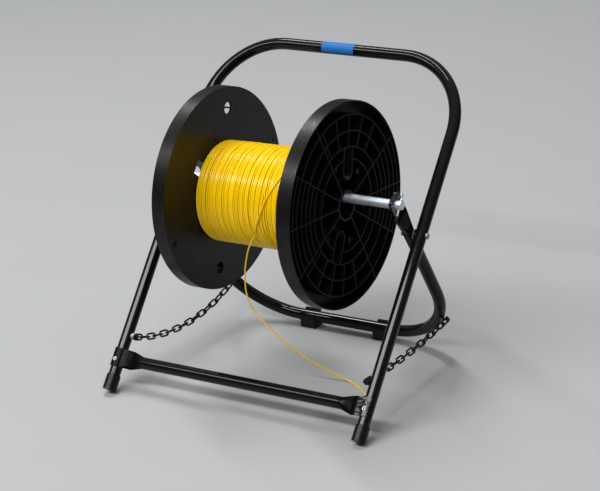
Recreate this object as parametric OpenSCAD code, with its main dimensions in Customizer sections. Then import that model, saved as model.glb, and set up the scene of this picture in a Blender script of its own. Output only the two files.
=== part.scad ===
// Folding A-frame caddy that carries one reel of cable on a steel axle.
// X runs across the caddy, +Y to the rear, +Z up, and the feet stand at Z = 0.

/* [Tube] */
// Outer diameter of the frame tube
tube_d = 25.4; // [20:0.1:32]
// Wall of the frame tube
tube_wall = 1.6; // [1.2:0.1:2.5]

/* [Main frame] */
// Width over both legs
frame_w = 640; // [600:1:700]
// Lean of the legs from upright
frame_lean = 42; // [38:0.5:46]
// Length along a leg from the floor end to the axis of the handle bar
leg_len = 820; // [760:5:860]
// Bend radius at the two handle corners
handle_bend_r = 160; // [100:1:200]
// Diameter of a rubber boot
boot_d = 29.8; // [28:0.1:36]
// Length of a rubber boot
boot_len = 33; // [24:1:45]
// Thickness of a boot under the tube
boot_floor = 4; // [2:0.5:8]

/* [Crossbar] */
// Distance along the leg to the axis of the crossbar
cross_s = 70; // [60:1:100]
// Width of the pressed ends, along the leg
saddle_w = 40; // [30:1:46]
// Thickness of the pressed ends
saddle_t = 3.6; // [2.4:0.1:5]
// Distance from the middle to where the tube begins to flare
flare_x = 247; // [220:1:255]
// Diameter of a rivet's shank
rivet_d = 4.8; // [3.2:0.1:6]
// Diameter of a rivet's head
rivet_head_d = 9.6; // [7:0.1:12]

/* [Rear frame] */
// Distance along the leg from the floor end to the pivot
pivot_s = 437; // [400:1:470]
// Lean of the rear frame from upright
rear_lean = 28.4; // [25:0.2:32]
// Bend radius at the two lower corners
rear_bend_r = 167; // [120:1:180]
// Room for the washer between a leg and a rear arm
washer_gap = 1.2; // [0.8:0.1:3]
// Diameter of the pivot bolt
pivot_bolt_d = 8; // [6:0.5:10]
// Height of the tube over the floor at the rear feet
foot_drop = 11; // [6:0.5:16]
// Length of a rear foot along the tube
foot_len = 37; // [30:1:60]
// Distance from the middle to the centre of a rear foot
foot_x = 93; // [60:1:100]
// Wall of a foot beside the tube
foot_wall = 2.6; // [2:0.1:4]
// Height of a foot's rear wall over the axis of the tube
foot_back = 12.8; // [8:0.1:16]

/* [Arm ends] */
// Distance along the arm from the pivot to the axle
axle_rise = 92; // [84:1:100]
// Distance from the arm's middle line forward to the axle
axle_forward = 2.6; // [0:0.1:5]
// Length of the flat end past the axle
plate_over = 19; // [16:0.5:26]
// Width of the flat end
plate_w = 40; // [34:0.5:44]
// Thickness of the flat end
plate_t = 5; // [4:0.1:6]

/* [Axle] */
// Diameter of the axle
axle_d = 19.05; // [16:0.05:22]
// Length of the axle past an arm end's outer face
axle_over = 14.8; // [12:0.1:20]
// Distance from an arm end's outer face to the middle of a split pin
pin_off = 8.7; // [6:0.1:9]
// Diameter of a split pin
pin_d = 3.8; // [3:0.1:4]
// Length of a split pin under its eye
pin_len = 33; // [28:1:40]
// Lean of the split pins from upright
pin_lean = 36; // [0:1:60]

/* [Reel] */
// Diameter of a flange
flange_d = 426; // [380:1:440]
// Thickness of a flange
flange_t = 30.7; // [20:0.1:36]
// Width of the reel over both flanges
reel_w = 330; // [300:1:340]
// Distance of the reel's middle from the caddy's middle
reel_shift = 2; // [-5:0.5:5]
// Diameter of the bore through the reel
reel_bore_d = 54; // [40:0.5:60]
// Thickness of the flange's web
web_t = 4; // [3:0.1:6]
// Thickness of the flange's rim
rim_t = 3; // [2.6:0.1:8]
// Thickness of a rib
rib_t = 2.4; // [1.6:0.1:4]
// Diameter of the barrel
barrel_d = 184; // [178:1:196]
// Wall of the barrel
barrel_wall = 4; // [3:0.1:6]
// Circle that the tie bolts stand on
tie_circle_d = 164; // [150:1:166]
// Diameter of a tie bolt
tie_d = 5; // [4:0.1:6]
// Diameter of the wound cable, over its outer turns
winding_d = 220; // [200:1:230]

/* [Chain] */
// Distance along the leg from the floor end to the front chain bolt
chain_s = 122; // [110:1:140]
// Angle into the lower bend at the rear chain bolt
chain_bend_angle = 34; // [28:1:36]
// Distance from a leg's inner side to the chain
chain_off = 9.6; // [8.6:0.1:12]
// Links in each chain
chain_links = 16; // [14:2:18]
// Sag of the left chain under the line between its bolts
left_sag = 34; // [20:1:50]
// Sag of the right chain under the line between its bolts
right_sag = 9; // [6:1:50]
// Diameter of the wire of a link
chain_wire = 4; // [3:0.1:4.4]
// Inner width of a link
link_gap_w = 7.5; // [7:0.1:10]
// Diameter of a chain bolt
chain_bolt_d = 6; // [5:0.1:6.4]

/* [Label] */
// Length of the plain label on the handle bar
label_len = 79; // [40:1:120]
// Distance of the label's middle from the middle of the bar
label_x = -14; // [-60:1:60]

/* [Hidden] */

// Clearances
fit_gap = 0.1;
run_gap = 0.3;
pivot_run_gap = 0.15;
cut_over = 1;
bolt_end = 1.5;

// Smoothness of round faces
$fn = 96;
hull_fn = 32;
wire_fn = 24;

// Frame tube
tube_r = tube_d / 2;
tube_in_r = tube_r - tube_wall;
leg_x = frame_w / 2 - tube_r;
boot_r = boot_d / 2;
boot_edge = 1.5;

// The foot of the leg axis, and the middle of the caddy front to rear
leg_foot_z = boot_r * sin(frame_lean);
front_y = -boot_r * cos(frame_lean);
back_y = leg_len * sin(frame_lean) + tube_r;
leg_foot_y = -(front_y + back_y) / 2;

// Pivot between the frames
pivot_y = leg_foot_y + pivot_s * sin(frame_lean);
pivot_z = leg_foot_z + pivot_s * cos(frame_lean);
arm_x = leg_x - tube_d - washer_gap;
pivot_hole_r = pivot_bolt_d / 2 + pivot_run_gap;
pivot_head_af = 11.5;
pivot_head_t = 3.8;
pivot_nut_t = 3.2;
washer_d = 22;
hex_round = 2 / sqrt(3);

// Rear frame, along its own slope from the pivot
rear_bar_z = tube_r + foot_drop;
rear_drop = (pivot_z - rear_bar_z) / cos(rear_lean);
rear_straight = rear_drop - rear_bend_r;
rear_bar_y = pivot_y + rear_drop * sin(rear_lean);
foot_depth = tube_d + 2 * foot_wall;
foot_tab = 4;

// Flattened arm ends
flat_from = 15;
flat_to = 52;
plate_top = axle_rise + plate_over;
plate_corner_r = 9;
edge_t = 0.2;

// Axle in the arm ends
axle_y = pivot_y - axle_rise * sin(rear_lean) - axle_forward * cos(rear_lean);
axle_z = pivot_z + axle_rise * cos(rear_lean) - axle_forward * sin(rear_lean);
axle_r = axle_d / 2;
axle_half = arm_x + plate_t / 2 + axle_over;
axle_chamfer = 1;
pin_x = arm_x + plate_t / 2 + pin_off;
pin_hole_r = pin_d / 2 + fit_gap;
pin_eye_r = 3.6;
pin_eye_wire_r = 1.2;
pin_leg_len = 7;
pin_leg_angle = 24;

// Crossbar ends
saddle_r = tube_r + saddle_t;
saddle_angle = 122;
flare_end_off = 35;
flare_end_x = leg_x - flare_end_off;
flare_r = 7;
press_r = 3;
press_turn = 222;
rivet_s = cross_s - 5;
rivet_head_t = 1.6;
rivet_top_d = 0.7 * rivet_head_d;
rivet_core_r = 1.6;

// Reel, hung by its bore on the axle
reel_bore_r = reel_bore_d / 2;
reel_hang = reel_bore_r - axle_r - run_gap;
reel_y = axle_y;
reel_z = axle_z - reel_hang;
flange_r = flange_d / 2;
drum_w = reel_w - 2 * flange_t;
barrel_r = barrel_d / 2;
hub_t = 5;
ring_ribs = [0.869, 0.714, 0.563, 0.448];
side_rings = [0.94, 0.79, 0.64];
side_starts = [-36, 144];
side_sector = 60;
spoke_angles = [24, 114, 144, 174, 204, 294, 324, 354];
slot_angles = [78, 241];
slot_half_w = 16;
slot_end_r = 68.5;
slot_out_r = ring_ribs[2] * flange_r;
left_rib_turn = 60;
short_ribs = [-32, -16, 0, 16, 32];
tie_first_angle = 39;
tie_step = 60;
tie_count = 6;
boss_r = 7.5;
boss_t = flange_t - 7;
boss_recess = 6;
boss_recess_r = 5.6;
tie_head_t = 3.6;
tie_head_af = 8;
tie_hole_r = tie_d / 2 + fit_gap;
lift_hole_r = 12.5;
small_hole_r = 3.5;
rim_hole_r = 8;
small_hole_off = 21;
small_hole_at = barrel_r + small_hole_off;
lift_hole_at = 168;
rim_hole_at = 196.5;
small_hole_angle = 98;
lift_angles = [76, -106];
small_rim_angle = 12.5;
rim_hole_angle = -164.5;

// Winding, with a shallow groove between its bundles of turns
wind_r = winding_d / 2;
bundle_count = 10;
bundle_gap = 3.2;
bundle_depth = 1.4;

// Chain, hung as an arc between its bolts
chain_gap = 0.4;
chain_r = chain_wire / 2;
link_mid_r = (link_gap_w + chain_wire) / 2;
chain_bolt_r = chain_bolt_d / 2;
chain_front_y = leg_foot_y + chain_s * sin(frame_lean);
chain_front_z = leg_foot_z + chain_s * cos(frame_lean);
chain_drop = rear_straight + rear_bend_r * sin(chain_bend_angle);
chain_rear_y = pivot_y + chain_drop * sin(rear_lean);
chain_rear_z = pivot_z - chain_drop * cos(rear_lean);
bend_skin_x = arm_x - rear_bend_r * (1 - cos(chain_bend_angle)) + tube_r / cos(chain_bend_angle);
chain_x = leg_x - tube_r - chain_off;
chain_rear_off = 7.8;
chain_rear_x = bend_skin_x + chain_rear_off;
chain_toe = atan2(chain_x - chain_rear_x, chain_rear_y - chain_front_y);
chain_run_y = norm([chain_x - chain_rear_x, chain_rear_y - chain_front_y]);
chain_rise = chain_rear_z - chain_front_z;
chain_span = norm([chain_run_y, chain_rise]);
chain_slope = atan2(chain_rise, chain_run_y);
link_roll = 180 * floor(chain_links / 2) / (chain_links - 1);
chain_half = chain_links / 2;
chain_nut_af = 13;
chain_head_af = 9;
chain_head_t = 2.5;
chain_bolt_in = 6;
chain_side = chain_r + run_gap;

// Label
label_t = 0.3;
label_turn = 165;
label_start = 170;

// Loose end of the cable: it leaves the winding, hangs down and lies on the floor
cable_d = 3.2;
cable_sides = 8;
cable_steps = 3;
cable_floor_z = cable_d / 2 + fit_gap;
sweep_side = [0.3, 1, 0.2];
cable_route = [
    [7, -130.4, 350.5], [-7, -128.5, 331], [-18, -126, 311], [-27, -124, 287], [-34, -122, 263],
    [-38, -120, 239], [-40, -118, 215], [-37, -115, 190], [-28, -112, 167], [-12, -109, 147],
    [10, -104, 123], [32, -97, 99], [55, -86, 75], [79, -72, 52], [101, -57, 32], [122, -43, 15],
    [139, -36, 5], [156, -40, cable_floor_z], [176, -52, cable_floor_z], [195, -67, cable_floor_z],
    [210, -78, cable_floor_z], [224, -87, cable_floor_z]
];

// Everything on a leg: origin at the foot of the leg axes, +Z up the slope
module on_legs() {
    translate([0, leg_foot_y, leg_foot_z]) rotate([-frame_lean, 0, 0]) children();
}

// Everything on the rear frame: origin at the pivot, +Z up the arms
module on_rear() {
    translate([0, pivot_y, pivot_z]) rotate([rear_lean, 0, 0]) children();
}

// Copies its child to both sides
module both_sides() {
    children();
    mirror([1, 0, 0]) children();
}

// A round bar along X from x1 to x2
module bar_x(x1, x2, r) {
    translate([x1, 0, 0]) rotate([0, 90, 0]) cylinder(r = r, h = x2 - x1);
}

// A hexagon along X from x1 to x2, across flats af
module hex_x(x1, x2, af) {
    translate([x1, 0, 0]) rotate([0, 90, 0]) cylinder(d = af * hex_round, h = x2 - x1, $fn = 6);
}

// Two legs up from z = start, two bends and a bar across
module u_bar(half_w, start, straight, bend_r, r) {
    both_sides() {
        translate([half_w, 0, start]) cylinder(r = r, h = straight - start);
        translate([half_w - bend_r, 0, straight])
            rotate([90, 0, 0]) rotate_extrude(angle = 90) translate([bend_r, 0]) circle(r = r);
    }
    translate([0, 0, straight + bend_r]) bar_x(bend_r - half_w, half_w - bend_r, r);
}

// Main frame

module handle_frame() {
    color("black") on_legs() difference() {
        u_bar(leg_x, boot_floor + fit_gap, leg_len - handle_bend_r, handle_bend_r, tube_r);
        u_bar(leg_x, 0, leg_len - handle_bend_r, handle_bend_r, tube_in_r);
        both_sides() {
            translate([0, 0, pivot_s])
                bar_x(leg_x - tube_d, leg_x + tube_d, pivot_bolt_d / 2 + fit_gap);
            translate([0, 0, chain_s]) bar_x(leg_x - tube_d, leg_x, chain_bolt_r + fit_gap);
            translate([leg_x, 0, rivet_s])
                rotate([90, 0, 0]) cylinder(r = rivet_d / 2 + fit_gap, h = tube_d);
        }
    }
}

module front_crossbar() {
    color("dimgray") on_legs() translate([0, 0, cross_s]) difference() {
        union() {
            bar_x(-flare_x, flare_x, tube_r);
            both_sides() {
                flared_end();
                saddle();
            }
        }
        bar_x(-flare_x + cut_over, flare_x - cut_over, tube_in_r);
        both_sides() {
            translate([leg_x, 0, -saddle_w]) cylinder(r = tube_r + fit_gap, h = 2 * saddle_w);
            translate([leg_x, 0, rivet_s - cross_s])
                rotate([90, 0, 0]) cylinder(r = rivet_d / 2 + fit_gap, h = tube_d);
        }
    }
}

// The tube's end spreads into a flat, which turns to the front of the leg
module flared_end() {
    hull() {
        bar_x(flare_x - edge_t, flare_x, tube_r, $fn = hull_fn);
        flat_x(flare_end_x, 0, flare_r);
    }
    hull() {
        flat_x(flare_end_x, 0, flare_r);
        translate([leg_x, 0, 0]) rotate([0, 0, press_turn])
            translate([tube_r + saddle_t / 2, 0, -saddle_w / 2])
            cylinder(r = saddle_t / 2, h = saddle_w, $fn = hull_fn);
    }
}

// A flat with round edges across the crossbar at x
module flat_x(x, y, r) {
    for (up = [-1, 1])
        translate([x, y, up * (saddle_w / 2 - r)]) rotate([0, 90, 0])
            cylinder(r = r, h = edge_t, $fn = hull_fn);
}

// The end wraps over the front of the leg
module saddle() {
    translate([leg_x, 0, -saddle_w / 2]) rotate([0, 0, 180]) rotate_extrude(angle = saddle_angle)
        translate([tube_r + fit_gap, 0]) square([saddle_t - fit_gap, saddle_w]);
}

module crossbar_rivets() {
    color("silver") on_legs() both_sides() translate([leg_x, -saddle_r - fit_gap, rivet_s])
        rotate([90, 0, 0]) difference() {
            union() {
                cylinder(d1 = rivet_head_d, d2 = rivet_top_d, h = rivet_head_t);
                translate([0, 0, -saddle_t - tube_wall - cut_over])
                    cylinder(d = rivet_d, h = saddle_t + tube_wall + cut_over);
            }
            translate([0, 0, -saddle_t]) cylinder(r = rivet_core_r, h = saddle_t + tube_wall + cut_over);
        }
}

// A cup round the end of a leg, with a narrower lip
module boot(side) {
    color("dimgray") on_legs() translate([side * leg_x, 0, 0]) difference() {
        union() {
            cylinder(r = boot_r, h = boot_len - boot_edge);
            translate([0, 0, boot_len - boot_edge])
                cylinder(r1 = boot_r, r2 = boot_r - boot_edge / 2, h = boot_edge);
        }
        translate([0, 0, boot_floor]) cylinder(r = tube_r + fit_gap, h = boot_len);
    }
}

module left_boot() {
    boot(-1);
}

module right_boot() {
    boot(1);
}

// Plain label, wrapped over the top and front of the handle bar
module handle_label() {
    color("dodgerblue") on_legs() translate([label_x - label_len / 2, 0, leg_len])
        rotate([0, 90, 0]) rotate([0, 0, label_start]) rotate_extrude(angle = label_turn)
        translate([tube_r + fit_gap / 2, 0]) square([label_t, label_len]);
}

// Pivot fasteners

module at_pivot() {
    translate([0, pivot_y, pivot_z]) children();
}

module pivot_bolts() {
    head_x = leg_x + tube_r + fit_gap;
    end_x = arm_x - tube_r - run_gap - pivot_nut_t - bolt_end;
    color("silver") at_pivot() both_sides() {
        bar_x(end_x, head_x, pivot_bolt_d / 2);
        hex_x(head_x, head_x + pivot_head_t, pivot_head_af);
    }
}

module pivot_washers() {
    mid_x = leg_x - tube_r - washer_gap / 2;
    color("silver") at_pivot() both_sides() difference() {
        bar_x(mid_x - washer_gap / 2 + run_gap, mid_x + washer_gap / 2 - fit_gap, washer_d / 2);
        bar_x(mid_x - washer_gap, mid_x + washer_gap, pivot_hole_r);
    }
}

module pivot_nuts() {
    face_x = arm_x - tube_r - run_gap;
    color("silver") at_pivot() both_sides() difference() {
        hex_x(face_x - pivot_nut_t, face_x, pivot_head_af);
        bar_x(face_x - 2 * pivot_nut_t, face_x + cut_over, pivot_bolt_d / 2 + fit_gap);
    }
}

// Chain fasteners

module at_front_chain() {
    translate([0, chain_front_y, chain_front_z]) children();
}

module front_chain_bolts() {
    color("black") at_front_chain() both_sides() {
        bar_x(chain_x - chain_side, leg_x - tube_in_r + chain_bolt_in, chain_bolt_r);
        hex_x(chain_x - chain_side - chain_head_t, chain_x - chain_side, chain_head_af);
    }
}

module front_chain_nuts() {
    color("silver") at_front_chain() both_sides() difference() {
        hex_x(chain_x + chain_side, leg_x - tube_r - fit_gap, chain_nut_af);
        bar_x(chain_x, leg_x, chain_bolt_r + fit_gap);
    }
}

module at_rear_chain() {
    translate([0, chain_rear_y, chain_rear_z]) children();
}

module rear_chain_bolts() {
    color("black") at_rear_chain() both_sides() {
        bar_x(bend_skin_x - 2 * tube_wall - chain_bolt_in, chain_rear_x + chain_side, chain_bolt_r);
        hex_x(chain_rear_x + chain_side, chain_rear_x + chain_side + chain_head_t, chain_head_af);
    }
}

// Rear frame

module rear_frame_tube() {
    color("black") difference() {
        union() {
            on_rear() mirror([0, 0, 1]) u_bar(arm_x, -flat_from, rear_straight, rear_bend_r, tube_r);
            on_rear() both_sides() arm_end();
        }
        on_rear() mirror([0, 0, 1])
            u_bar(arm_x, -flat_from + cut_over, rear_straight, rear_bend_r, tube_in_r);
        at_pivot() both_sides() bar_x(arm_x - tube_d, arm_x + tube_d, pivot_hole_r);
        at_rear_chain() both_sides()
            bar_x(bend_skin_x - tube_r, bend_skin_x + tube_r, chain_bolt_r + fit_gap);
    }
}

// The tube is pressed flat, drilled for the axle and cut square
module arm_end() {
    hull() {
        translate([arm_x, 0, flat_from - edge_t]) cylinder(r = tube_r, h = edge_t, $fn = hull_fn);
        translate([arm_x - plate_t / 2, -plate_w / 2, flat_to]) cube([plate_t, plate_w, edge_t]);
    }
    difference() {
        translate([arm_x + plate_t / 2, 0, 0]) rotate([0, -90, 0])
            linear_extrude(plate_t) plate_outline();
        translate([0, -axle_forward, axle_rise]) bar_x(arm_x - tube_r, arm_x + tube_r, axle_r + run_gap);
    }
}

// Outline of the flat end: x along the arm, y across it
module plate_outline() {
    difference() {
        translate([flat_to, -plate_w / 2]) square([plate_top - flat_to, plate_w]);
        for (side = [-1, 1])
            translate([plate_top - plate_corner_r, side * (plate_w / 2 - plate_corner_r)])
                difference() {
                    translate([0, side < 0 ? -2 * plate_corner_r : 0]) square(2 * plate_corner_r);
                    circle(r = plate_corner_r);
                }
    }
}

// A saddle foot: a block that the tube lies in, with a taller wall behind the tube
module foot(side) {
    color("dimgray") translate([side * foot_x, rear_bar_y, 0]) difference() {
        union() {
            translate([-foot_len / 2, -foot_depth / 2, 0]) cube([foot_len, foot_depth, rear_bar_z]);
            translate([-foot_len / 2, tube_r - foot_tab, rear_bar_z])
                cube([foot_len, foot_depth / 2 - tube_r + foot_tab, foot_back]);
        }
        translate([0, 0, rear_bar_z]) bar_x(-foot_len, foot_len, tube_r + fit_gap);
    }
}

module left_foot() {
    foot(-1);
}

module right_foot() {
    foot(1);
}

// Chains

// One link in the XY plane, its length along X
module link(inner_len) {
    end_x = inner_len / 2 + chain_r - link_mid_r;
    both_sides() translate([end_x, 0, 0]) rotate([0, 0, -90]) rotate_extrude(angle = 180)
        translate([link_mid_r, 0]) circle(r = chain_r, $fn = wire_fn);
    for (side = [-1, 1]) translate([0, side * link_mid_r, 0])
        rotate([0, 90, 0]) cylinder(r = chain_r, h = 2 * end_x, center = true, $fn = wire_fn);
}

// Links first to last of a chain, each hung in the next on one arc of that sag
module chain_run(side, sag, first, last) {
    arc_r = chain_span * chain_span / (8 * sag) + sag / 2;
    half_angle = asin(chain_span / 2 / arc_r);
    pitch = (2 * arc_r * half_angle * PI / 180 + chain_bolt_d) / chain_links;
    inner_len = pitch + chain_gap;
    start = inner_len / 2 - chain_bolt_r - chain_gap / 2;
    mid_y = chain_run_y / 2 - (arc_r - sag) * sin(chain_slope);
    mid_z = chain_rise / 2 + (arc_r - sag) * cos(chain_slope);
    color("dimgray") translate([side * chain_x, chain_front_y, chain_front_z])
        rotate([0, 0, side * chain_toe]) for (k = [first:last]) {
            turn = chain_slope - half_angle + (start + k * pitch) / arc_r * 180 / PI;
            translate([0, mid_y + arc_r * sin(turn), mid_z - arc_r * cos(turn)])
                rotate([turn, 0, 0]) rotate(a = 120, v = [1, 1, 1])
                rotate([-k * link_roll, 0, 0]) link(inner_len);
        }
}

module left_chain_front() {
    chain_run(-1, left_sag, 0, chain_half - 1);
}

module left_chain_rear() {
    chain_run(-1, left_sag, chain_half, chain_links - 1);
}

module right_chain_front() {
    chain_run(1, right_sag, 0, chain_half - 1);
}

module right_chain_rear() {
    chain_run(1, right_sag, chain_half, chain_links - 1);
}

// Axle and its split pins

module at_axle() {
    translate([0, axle_y, axle_z]) children();
}

module axle_rod() {
    color("silver") at_axle() difference() {
        union() {
            bar_x(axle_chamfer - axle_half, axle_half - axle_chamfer, axle_r);
            both_sides() translate([axle_half - axle_chamfer, 0, 0]) rotate([0, 90, 0])
                cylinder(r1 = axle_r, r2 = axle_r - axle_chamfer, h = axle_chamfer);
        }
        both_sides() translate([pin_x, 0, 0]) rotate([-pin_lean, 0, 0])
            cylinder(r = pin_hole_r, h = 2 * axle_d, center = true);
    }
}

// A split pin: an eye on top, a shank through the axle and two spread legs
module split_pin(side) {
    color("silver") at_axle() translate([side * pin_x, 0, 0]) rotate([-pin_lean, 0, 0]) {
        translate([0, 0, -pin_len / 2]) cylinder(d = pin_d, h = pin_len);
        translate([0, 0, pin_len / 2 + pin_eye_r - pin_eye_wire_r / 2])
            rotate([0, 90, 0]) rotate_extrude()
            translate([pin_eye_r, 0]) circle(r = pin_eye_wire_r, $fn = wire_fn);
        for (way = [-1, 1])
            translate([0, way * (pin_d / 2 - pin_eye_wire_r), -pin_len / 2 + pin_eye_wire_r])
                rotate([way * (180 - pin_leg_angle), 0, 0]) {
                    cylinder(r = pin_eye_wire_r, h = pin_leg_len, $fn = wire_fn);
                    translate([0, 0, pin_leg_len]) sphere(r = pin_eye_wire_r, $fn = wire_fn);
                }
    }
}

module left_axle_pin() {
    split_pin(-1);
}

module right_axle_pin() {
    split_pin(1);
}

// Reel

// Everything on the reel: X along the bore, angles from +Y towards +Z
module on_reel() {
    translate([reel_shift, reel_y, reel_z]) children();
}

// Turns a flat shape, drawn in x towards +Y and y towards +Z, up along +X by depth
module face_out(depth) {
    rotate([90, 0, 90]) linear_extrude(depth) children();
}

// A flat ring, or a stretch of one, of rib thickness round radius r
module ring(r, t) {
    difference() {
        circle(r = r + t / 2);
        circle(r = r - t / 2);
    }
}

// An arc of rib at radius r in the sector from a to b
module arc_rib(r, a, b) {
    rotate([90, 0, 90]) rotate([0, 0, a]) rotate_extrude(angle = b - a)
        translate([r - rib_t / 2, 0]) square([rib_t, flange_t]);
}

// A straight rib at angle a, from radius r1 to r2
module spoke(a, r1, r2) {
    face_out(flange_t) rotate(a) translate([r1, -rib_t / 2]) square([r2 - r1, rib_t]);
}

// The moulded flange, from its inner face at x = 0 out to its ribbed side
module flange_body() {
    face_out(web_t) circle(r = flange_r);
    face_out(flange_t) {
        ring(flange_r - rim_t / 2, rim_t);
        ring(reel_bore_r + hub_t / 2, hub_t);
        for (share = ring_ribs) ring(share * flange_r, rib_t);
    }
    for (a = spoke_angles) spoke(a, reel_bore_r + hub_t / 2, flange_r - rim_t / 2);
    for (start = side_starts, share = side_rings)
        arc_rib(share * flange_r, start, start + side_sector);
    for (a = slot_angles) {
        slot_ribs(a);
        for (b = short_ribs) spoke(a + b, ring_ribs[1] * flange_r, ring_ribs[0] * flange_r);
        for (b = short_ribs) spoke(a + b, ring_ribs[2] * flange_r, ring_ribs[1] * flange_r);
    }
    for (k = [0:tie_count - 1])
        face_out(boss_t) rotate(tie_first_angle + k * tie_step) translate([tie_circle_d / 2, 0])
            circle(r = boss_r, $fn = hull_fn);
}

// A long U of rib beside each cable slot
module slot_ribs(a) {
    face_out(flange_t) rotate(a) {
        for (side = [-1, 1])
            translate([slot_end_r, side * slot_half_w - rib_t / 2])
                square([slot_out_r - slot_end_r, rib_t]);
        difference() {
            translate([slot_end_r, 0]) ring(slot_half_w, rib_t);
            translate([slot_end_r, -2 * slot_half_w]) square(4 * slot_half_w);
        }
    }
}

// The opening inside each U, through web and ribs
module slot_opening(a) {
    open_w = slot_half_w - rib_t / 2;
    translate([-cut_over, 0, 0]) face_out(flange_t + 2 * cut_over) rotate(a) {
        translate([slot_end_r, -open_w]) square([slot_out_r - rib_t / 2 - slot_end_r, 2 * open_w]);
        translate([slot_end_r, 0]) circle(r = open_w);
    }
}

// A hole through the web at radius r and angle a
module web_hole(r, a, hole_r) {
    rotate([a, 0, 0]) translate([0, r, 0])
        bar_x(-cut_over, web_t + cut_over, hole_r, $fn = hull_fn);
}

module flange_holes() {
    bar_x(-cut_over, flange_t + cut_over, reel_bore_r);
    for (k = [0:tie_count - 1])
        rotate([tie_first_angle + k * tie_step, 0, 0]) translate([0, tie_circle_d / 2, 0]) {
            bar_x(-cut_over, flange_t, tie_hole_r, $fn = hull_fn);
            bar_x(boss_t - boss_recess, flange_t + cut_over, boss_recess_r, $fn = hull_fn);
        }
}

// A flange with its ribs and slots turned round the bore
module flange(turn) {
    difference() {
        rotate([turn, 0, 0]) difference() {
            flange_body();
            for (a = slot_angles) slot_opening(a);
        }
        flange_holes();
    }
}

module right_flange() {
    color("black") on_reel() translate([drum_w / 2, 0, 0]) flange(0);
}

module left_flange() {
    color("black") on_reel() mirror([1, 0, 0]) translate([drum_w / 2, 0, 0]) difference() {
        flange(left_rib_turn);
        for (a = lift_angles) web_hole(lift_hole_at, a, lift_hole_r);
        web_hole(rim_hole_at, rim_hole_angle, rim_hole_r);
        web_hole(rim_hole_at, small_rim_angle, small_hole_r);
        web_hole(small_hole_at, small_hole_angle, small_hole_r);
    }
}

module drum_barrel() {
    color("black") on_reel() difference() {
        bar_x(-drum_w / 2, drum_w / 2, barrel_r);
        bar_x(-drum_w, drum_w, barrel_r - barrel_wall);
    }
}

// Copies its child to each tie bolt
module at_ties() {
    for (k = [0:tie_count - 1])
        rotate([tie_first_angle + k * tie_step, 0, 0]) translate([0, tie_circle_d / 2, 0]) children();
}

module tie_bolts() {
    seat_x = drum_w / 2 + boss_t - boss_recess;
    color("silver") on_reel() at_ties() {
        bar_x(-seat_x - tie_head_t - bolt_end, seat_x, tie_d / 2, $fn = hull_fn);
        hex_x(seat_x, seat_x + tie_head_t, tie_head_af);
    }
}

module tie_nuts() {
    seat_x = boss_recess - drum_w / 2 - boss_t;
    color("silver") on_reel() at_ties() difference() {
        hex_x(seat_x - tie_head_t, seat_x, tie_head_af);
        bar_x(seat_x - 2 * tie_head_t, seat_x + cut_over, tie_d / 2 + fit_gap, $fn = hull_fn);
    }
}

// The wound cable, as one ring between the flanges, with a groove after each bundle of turns
module cable_winding() {
    step = drum_w / bundle_count;
    color("gold") on_reel() difference() {
        bar_x(-drum_w / 2 + run_gap, drum_w / 2 - run_gap, wind_r);
        bar_x(-drum_w, drum_w, barrel_r + run_gap);
        for (k = [1:bundle_count - 1]) difference() {
            bar_x(k * step - (drum_w + bundle_gap) / 2, k * step - (drum_w - bundle_gap) / 2, 2 * wind_r);
            bar_x(-drum_w, drum_w, wind_r - bundle_depth);
        }
    }
}

// A smooth curve through points p, with n steps between two of them
function smooth_point(a, b, c, d, t) =
    0.5 * (2 * b + (c - a) * t + (2 * a - 5 * b + 4 * c - d) * t * t + (3 * b - a - 3 * c + d) * t * t * t);
function smooth(p, n) = [
    for (i = [0:len(p) - 2], j = [0:n - 1])
        smooth_point(p[max(i - 1, 0)], p[i], p[i + 1], p[min(i + 2, len(p) - 1)], j / n),
    p[len(p) - 1]
];
function unit(v) = v / norm(v);
function along(p, i) = unit(p[min(i + 1, len(p) - 1)] - p[max(i - 1, 0)]);
function across(t) = unit(cross(t, sweep_side));
function sweep_points(p, r, n) = [
    for (i = [0:len(p) - 1], j = [0:n - 1])
        let (t = along(p, i), u = across(t), v = cross(t, u), a = 360 * j / n)
            p[i] + r * (cos(a) * u + sin(a) * v)
];
function sweep_faces(rings, n) = concat(
    [[for (j = [0:n - 1]) n - 1 - j]],
    [for (i = [0:rings - 2], j = [0:n - 1])
        [i * n + j, i * n + (j + 1) % n, (i + 1) * n + (j + 1) % n, (i + 1) * n + j]],
    [[for (j = [0:n - 1]) (rings - 1) * n + j]]
);

module cable_tail() {
    path = smooth(cable_route, cable_steps);
    color("gold") polyhedron(
        points = sweep_points(path, cable_d / 2, cable_sides),
        faces = sweep_faces(len(path), cable_sides),
        convexity = 8
    );
}

handle_frame();
front_crossbar();
crossbar_rivets();
left_boot();
right_boot();
handle_label();
pivot_bolts();
pivot_washers();
pivot_nuts();
front_chain_bolts();
front_chain_nuts();
rear_frame_tube();
left_foot();
right_foot();
rear_chain_bolts();
left_chain_front();
left_chain_rear();
right_chain_front();
right_chain_rear();
axle_rod();
left_axle_pin();
right_axle_pin();
left_flange();
right_flange();
drum_barrel();
tie_bolts();
tie_nuts();
cable_winding();
cable_tail();
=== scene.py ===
"""A folding caddy with a reel of yellow cable: its finishes, wound cable, loose end and studio.

All lengths are in metres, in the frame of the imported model: +X across, +Y to the rear, +Z up.
"""

import logging
import math
from dataclasses import dataclass, field
from enum import Enum
from functools import cache
from typing import Iterable, Sequence

import bpy
from mathutils import Euler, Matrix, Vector, noise


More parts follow.
